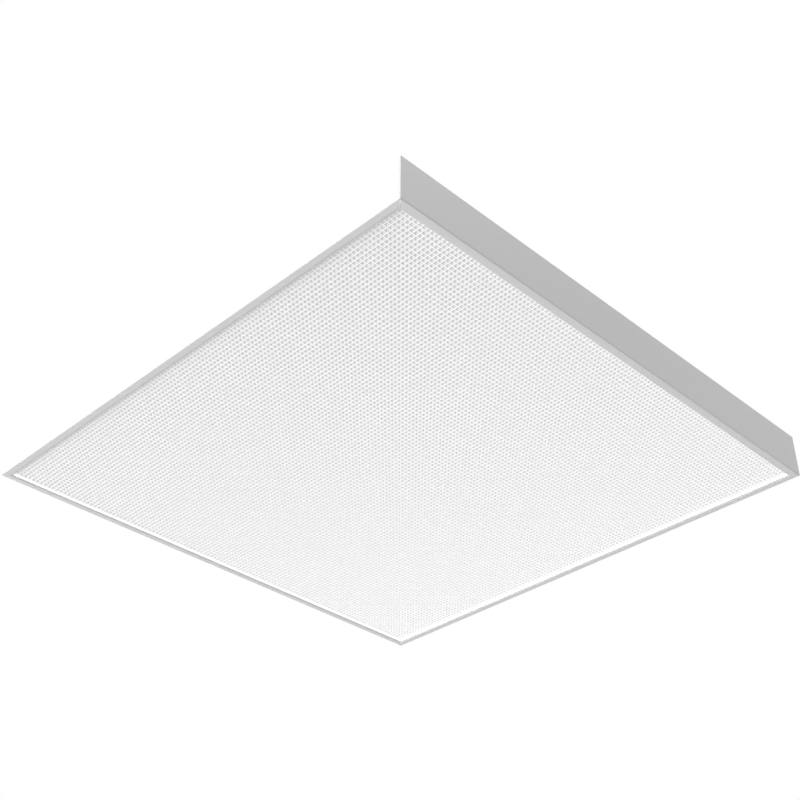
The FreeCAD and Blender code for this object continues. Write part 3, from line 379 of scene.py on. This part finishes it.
def lathed(spot, profile, sides=24):
    """Vertices and faces of a profile (radius, height) turned about an upright axis through a spot."""
    x, y, z = spot
    vertices, faces = [], []
    for radius, height in profile:
        for step in range(sides):
            angle = 2 * math.pi * step / sides
            vertices.append((x + radius * math.cos(angle), y + radius * math.sin(angle), z + height))
    for ring in range(len(profile) - 1):
        for step in range(sides):
            after = (step + 1) % sides
            faces.append((ring * sides + step, ring * sides + after, (ring + 1) * sides + after,
                          (ring + 1) * sides + step))
    faces.append(tuple(reversed(range(sides))))
    faces.append(tuple(range((len(profile) - 1) * sides, len(profile) * sides)))
    return vertices, faces


def torus(spot, radius, tube, axis=2, sides=40, around=8):
    """Vertices and faces of a ring about an axis (0, 1 or 2) through a spot."""
    vertices, faces = [], []
    for step in range(sides):
        angle = 2 * math.pi * step / sides
        for turn in range(around):
            tilt = 2 * math.pi * turn / around
            reach = radius + tube * math.cos(tilt)
            local = (reach * math.cos(angle), reach * math.sin(angle), tube * math.sin(tilt))
            turned = [0, 0, 0]
            for part, value in enumerate(local):
                turned[(part + axis + 1) % 3] = value
            vertices.append(tuple(a + b for a, b in zip(spot, turned)))
            after = (step + 1) % sides * around
            faces.append((step * around + turn, after + turn, after + (turn + 1) % around,
                          step * around + (turn + 1) % around))
    return vertices, faces


def frustum(spot, length, width, height, taper):
    """Small block on a spot, narrower at its far end."""
    x, y, z = spot
    vertices = [(x + sx * length / 2, y + sy * width / 2, z) for sx, sy in CORNERS]
    vertices += [(x + sx * (length / 2 - taper), y + sy * (width / 2 - taper), z + height)
                 for sx, sy in CORNERS]
    faces = [(3, 2, 1, 0), (4, 5, 6, 7), (0, 1, 5, 4), (1, 2, 6, 5), (2, 3, 7, 6), (3, 0, 4, 7)]
    return vertices, faces


def pit_edges(limit, pitch, shift):
    """Where the pits begin and end along one axis, with the plate's own edges at both ends."""
    half_ridge = pitch * RIDGE_SHARE / 2
    start = -pitch * CELLS_A_SIDE / 2 + shift
    edges = [-limit]
    for cell in range(-1, CELLS_A_SIDE + 1):
        low = max(start + cell * pitch, -limit) + half_ridge
        high = min(start + (cell + 1) * pitch, limit) - half_ridge
        if high - low > half_ridge:
            edges += [low, high]
    return edges + [limit]


def prismatic_lens():
    """Plate whose lower face is a grid of square pyramid pits between flat ridges."""
    low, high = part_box("prismatic_lens")
    ledge_inner = abs(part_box("left_rail")[1][0])
    pitch = 2 * (ledge_inner + LEDGE) / CELLS_A_SIDE
    across = pit_edges(high[0], pitch, GRID_SHIFT[0])
    along = pit_edges(high[1], pitch, GRID_SHIFT[1])
    vertices = [(x, y, low[2]) for x in across for y in along]
    faces, slots = [], []
    rows = len(along)
    for i in range(len(across) - 1):
        for j in range(rows - 1):
            ring = (i * rows + j, i * rows + j + 1, (i + 1) * rows + j + 1, (i + 1) * rows + j)
            if i % 2 and j % 2:
                vertices.append(((across[i] + across[i + 1]) / 2, (along[j] + along[j + 1]) / 2,
                                 low[2] + PRISM_DEPTH))
                apex = len(vertices) - 1
                faces += [(ring[k], ring[(k + 1) % 4], apex) for k in range(4)]
                slots += [1] * 4
            else:
                faces.append(ring)
                slots.append(0)
    top = len(vertices)
    vertices += [(low[0], low[1], high[2]), (high[0], low[1], high[2]), (high[0], high[1], high[2]),
                 (low[0], high[1], high[2])]
    last = (len(across) - 1) * rows
    near = [i * rows for i in range(len(across))]
    far = [i * rows + rows - 1 for i in range(len(across))]
    faces += [(*near, top + 1, top), (*range(last, last + rows), top + 2, top + 1),
              (*reversed(far), top + 3, top + 2), (*reversed(range(rows)), top, top + 3),
              (top, top + 1, top + 2, top + 3)]
    slots += [0] * 5
    lens = piece("prismatic_lens_visual", vertices, faces, RIDGES, "lens_door")
    lens.data.materials.append(PITS_PAINTED_SHADE)
    lens.data.polygons.foreach_set("material_index", slots)
    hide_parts("prismatic_lens")


def door_ring(name, profile, sides, made):
    """Strip along sides of the door, from a profile of (reach from the middle, height)."""
    vertices, faces = [], []
    for sx, sy in CORNERS:
        vertices += [(sx * reach, sy * reach, height) for reach, height in profile]
    count = len(profile)
    for side in sides:
        here, there = side * count, (side + 1) % 4 * count
        for i in range(count):
            j = (i + 1) % count
            faces.append((here + i, there + i, there + j, here + j))
    ring = piece(name, vertices, faces, made, "lens_door")


def stepped_lip():
    """Thin white skin on the inner profile of the two far rails, glowing as painted light from the
    lens.
    """
    rail_low, rail_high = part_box("left_rail")
    ledge_inner = abs(rail_high[0]) - HAIR
    web_inner = abs(rail_low[0]) - RAIL_GAUGE - HAIR
    bottom = rail_low[2] + LIP_START
    lens_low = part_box("prismatic_lens")[0][2] - HAIR
    ledge_low = lens_low - LEDGE_GAUGE
    profile = [(web_inner - SKIN, bottom), (web_inner, bottom), (web_inner, ledge_low),
               (ledge_inner, ledge_low), (ledge_inner, lens_low), (ledge_inner - SKIN, lens_low),
               (ledge_inner - SKIN, ledge_low - SKIN), (web_inner - SKIN, ledge_low - SKIN)]
    door_ring("lens_lip_painted_light", profile, FAR_SIDES, LIP_PAINTED_LIGHT)


def door_seal():
    """Light seal in the gap round the door's outer edge."""
    rail_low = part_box("left_rail")[0]
    inner = abs(rail_low[0]) + HAIR
    bottom = rail_low[2] + HAIR
    profile = [(inner, bottom), (inner + SEAL_WIDTH, bottom),
               (inner + SEAL_WIDTH, bottom + SEAL_HEIGHT), (inner, bottom + SEAL_HEIGHT)]
    door_ring("door_seal", profile, ALL_SIDES, ENAMEL)


def screw_spots(node, columns, rows):
    """Middles of the tops of a node's hexagon heads."""
    low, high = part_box(node)
    flat = HEAD_RADIUS * math.cos(math.pi / 6)
    return [(x, y, high[2]) for x in spread(low[0] + HEAD_RADIUS, high[0] - HEAD_RADIUS, columns)
            for y in spread(low[1] + flat, high[1] - flat, rows)]


def screw_trim(node, columns, rows, made):
    """Pressed washer under each hexagon head, and a dark mark on its top for the slot, painted shade in
    the slot.
    """
    rim = [(WASHER_RADIUS, 0), (WASHER_RADIUS, WASHER_HEIGHT * WASHER_EDGE_SHARE),
           (WASHER_RADIUS * WASHER_TOP_SHARE, WASHER_HEIGHT)]
    washers, slots = [], []
    for x, y, top in screw_spots(node, columns, rows):
        washers.append(lathed((x, y, top - HEAD_HEIGHT), rim))
        slots.append(frustum((x, y, top - SLOT_WIDTH / 2), SLOT_LENGTH, SLOT_WIDTH,
                             SLOT_WIDTH / 2 + HAIR, 0))
    joined(f"{node}_washers", washers, made, "housing")
    joined(f"{node}_slots", slots, DARK_EDGE_AND_SHADE, "housing")


def emitter_trim():
    """Phosphor dome and two solder pads at every emitter."""
    emitters_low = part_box("led_emitters")[0]
    dome = [(PHOSPHOR_RADIUS * DOME_TIP_SHARE, 0), (PHOSPHOR_RADIUS, DOME)]
    half_run = LED_PITCH * (LEDS_A_LINE - 1) / 2
    half_lines = LED_PITCH * (LINES - 1) / 2
    domes, pads = [], []
    for number in range(1, BOARDS + 1):
        low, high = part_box(f"led_board_{number}")
        middle_x, middle_y = (low[0] + high[0]) / 2, (low[1] + high[1]) / 2
        for x in spread(middle_x - half_run, middle_x + half_run, LEDS_A_LINE):
            for y in spread(middle_y - half_lines, middle_y + half_lines, LINES):
                domes.append(lathed((x, y, emitters_low[2] - DOME), dome, sides=16))
                pads += [frustum((x + side * PAD_REACH, y, low[2] - PAD_HEIGHT), PAD_LENGTH,
                                 PAD_WIDTH, PAD_HEIGHT, 0) for side in (-1, 1)]
    joined("emitter_phosphor", domes, PHOSPHOR, "housing")
    joined("solder_pads", pads, SOLDER, "housing")


def knockouts():
    """Punched rings on the long walls of the driver box, dark partly as cut edge and partly as painted
    shade in the groove.
    """
    box_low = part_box("driver_box")[0]
    cover_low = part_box("box_cover")[0]
    front = box_low[1]
    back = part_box("terminal_block")[1][1] + TERMINAL_INSET
    height = (box_low[2] + cover_low[2]) / 2
    rings = [torus((side * KNOCKOUT_X, wall, height), ENTRY_RADIUS, GROOVE, axis=1)
             for side in (-1, 1) for wall in (front, back)]
    joined("knockouts", rings, DARK_EDGE_AND_SHADE, "housing", smooth=True)


def terminal_buttons():
    """Push buttons that free the leads."""
    low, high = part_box("terminal_block")
    way = (high[0] - low[0]) / TERMINAL_WAYS
    middle_y = (low[1] + high[1]) / 2
    buttons = [frustum((x, middle_y, high[2] - HAIR), BUTTON_SIDE, BUTTON_SIDE, BUTTON_HEIGHT,
                       BUTTON_HEIGHT / 2)
               for x in spread(low[0] + way / 2, high[0] - way / 2, TERMINAL_WAYS)]
    joined("terminal_buttons", buttons, BUTTON, "housing")


def weld_spots():
    """Two resistance welds on the base of each hanger bracket."""
    low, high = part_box("hanger_brackets")
    base_top = low[2] + BRACKET_GAUGE
    half = BRACKET_SIDE / 2
    welds = [torus((x, y + side * WELD_PITCH / 2, base_top), WELD_RADIUS, WELD_BURR, sides=24, around=6)
             for x in (low[0] + half, high[0] - half)
             for y in (low[1] + half, high[1] - half)
             for side in (-1, 1)]
    joined("bracket_welds", welds, DARK_EDGE_AND_SHADE, "housing", smooth=True)


# ---------------------------------------------------------------- stage, light and camera

def seen_directly(tree):
    """1 for camera, glossy and transmission rays, 0 for the light that falls on surfaces."""
    rays = tree.nodes.new("ShaderNodeLightPath")
    highest = rays.outputs["Is Camera Ray"]
    for other in ("Is Glossy Ray", "Is Transmission Ray"):
        both = tree.nodes.new("ShaderNodeMath")
        both.operation = "MAXIMUM"
        tree.links.new(highest, both.inputs[0])
        tree.links.new(rays.outputs[other], both.inputs[1])
        highest = both.outputs[0]
    return highest


def level_by_ray(tree, hidden, seen, socket):
    """One level where a ray sees the thing directly, another for its light on surfaces."""
    level = tree.nodes.new("ShaderNodeMapRange")
    level.inputs["To Min"].default_value = hidden
    level.inputs["To Max"].default_value = seen
    tree.links.new(seen_directly(tree), level.inputs["Value"])
    tree.links.new(level.outputs[0], socket)


def world_light():
    """White for the camera and in reflections, an even ambient light for the rest."""
    world = bpy.data.worlds.new("studio")
    world.use_nodes = True
    bpy.context.scene.world = world
    background = world.node_tree.nodes["Background"]
    background.inputs["Color"].default_value = WHITE
    level_by_ray(world.node_tree, AMBIENT, 1.0, background.inputs["Strength"])


def add_floor():
    """Plain pale floor far below the light, which glows for direct rays alone."""
    mesh = bpy.data.meshes.new("floor")
    mesh.from_pydata([(sx * FLOOR_REACH, sy * FLOOR_REACH, FLOOR_LEVEL) for sx, sy in CORNERS], [],
                     [(0, 1, 2, 3)])
    paint = material("floor_paint", (0.86, 0.86, 0.86), roughness=0.9)
    shader = shader_of(paint)
    shader.inputs["Emission Color"].default_value = WHITE
    level_by_ray(paint.node_tree, 0.0, FLOOR_GLOW, shader.inputs["Emission Strength"])
    mesh.materials.append(paint)
    floor = linked("floor", mesh)


def add_camera():
    """Camera on the diagonal, looking up."""
    data = bpy.data.cameras.new("camera")
    data.sensor_width = SENSOR_WIDTH
    data.lens = FOCAL_PIXELS / PICTURE * SENSOR_WIDTH
    data.shift_x = (PICTURE / 2 - CENTRE_X) / PICTURE
    data.shift_y = (CENTRE_Y - PICTURE / 2) / PICTURE
    data.clip_start = CLIP_START
    camera = linked("camera", data)
    level = Vector((1, 1, 0)).normalized()
    ahead = level * math.cos(LOOK_UP) + Vector((0, 0, 1)) * math.sin(LOOK_UP)
    right = Vector((1, -1, 0)).normalized()
    up = right.cross(ahead)
    turn = Matrix((right, up, -ahead)).transposed().to_4x4()
    camera.matrix_world = Matrix.Translation(CAMERA_AT) @ turn
    bpy.context.scene.camera = camera


def area_light(name, at, size, power):
    """Square lamp that points at the middle of the frame."""
    data = bpy.data.lights.new(name, "AREA")
    data.shape = "SQUARE"
    data.size = size
    data.energy = power
    lamp = linked(name, data)
    lamp.location = at
    lamp.rotation_euler = (-Vector(at)).to_track_quat("-Z", "Y").to_euler()


dress_nodes()
prismatic_lens()
stepped_lip()
door_seal()
screw_trim("end_plate_screws", 3, 2, ZINC)
screw_trim("driver_box_screws", 2, 1, ZINC)
screw_trim("driver_screws", 2, 1, ZINC)
screw_trim("ground_screw", 1, 1, GREEN)
emitter_trim()
knockouts()
terminal_buttons()
weld_spots()
add_floor()
add_camera()
world_light()
area_light("key", KEY_AT, KEY_SIZE, KEY_POWER)
area_light("top", TOP_AT, TOP_SIZE, TOP_POWER)
bpy.context.scene.view_settings.view_transform = "Standard"
